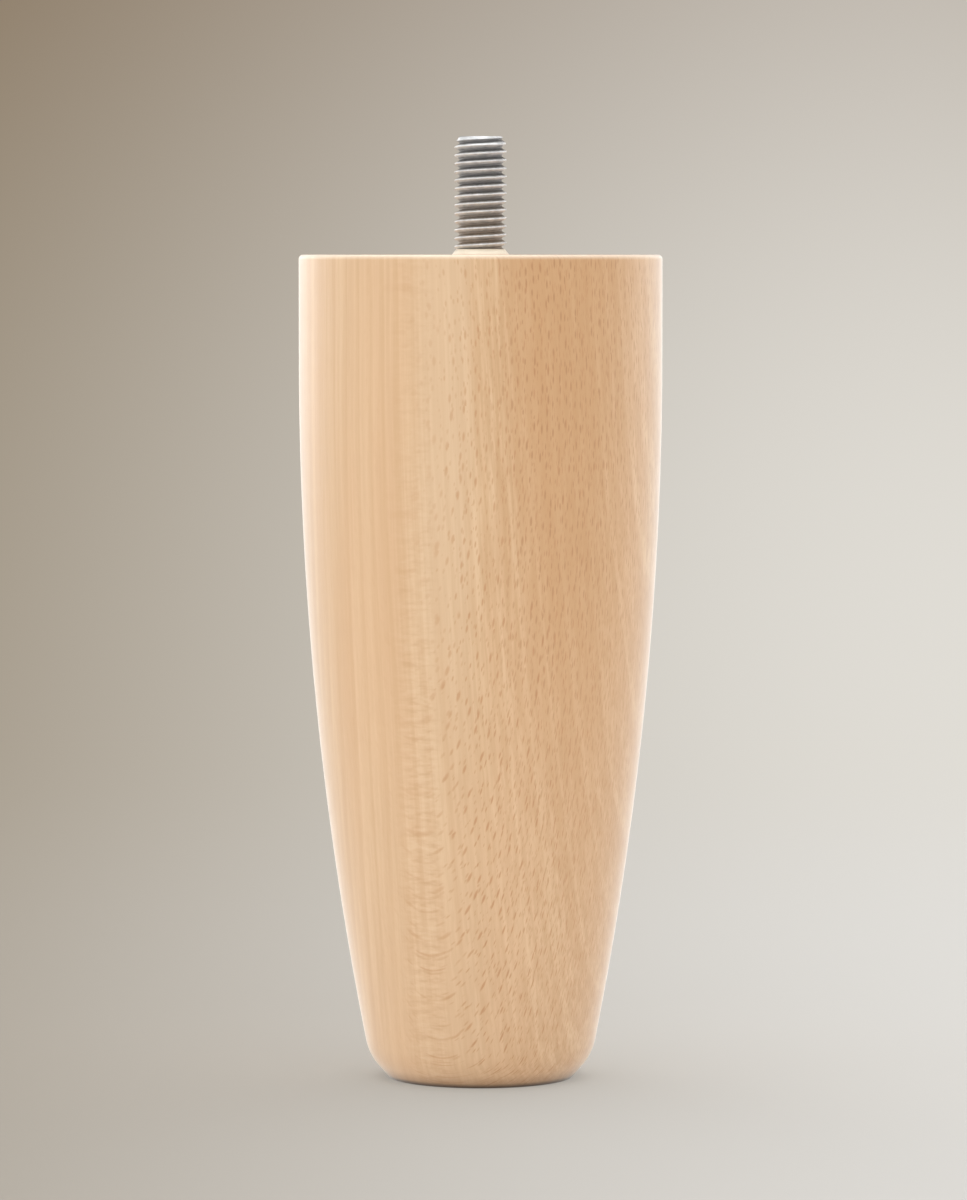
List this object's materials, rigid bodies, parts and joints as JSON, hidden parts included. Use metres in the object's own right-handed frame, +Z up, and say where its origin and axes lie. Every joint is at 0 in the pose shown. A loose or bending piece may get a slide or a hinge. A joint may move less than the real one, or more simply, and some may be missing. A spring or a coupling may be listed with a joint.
{
  "type": "wooden furniture leg",
  "caption": "Turned beech furniture leg that tapers on one long curve to a bevelled foot, with a threaded steel stud in its top for screwing into a frame or plate.",
  "frame": {"origin": "centre of the foot's flat, which the leg stands on", "axes": "+Z up the turning axis, from the foot to the end of the stud; the leg is round, so +X and +Y are free"},
  "size_m": [0.055, 0.055, 0.1428],
  "materials": {
    "beech": "fine-sanded beech under a satin clear lacquer",
    "zinc_plated_steel": "rolled thread, bright zinc plated"
  },
  "bodies": {
    "root": {"turned_leg": "beech", "hanger_bolt": "zinc_plated_steel"}
  },
  "joints": []
}
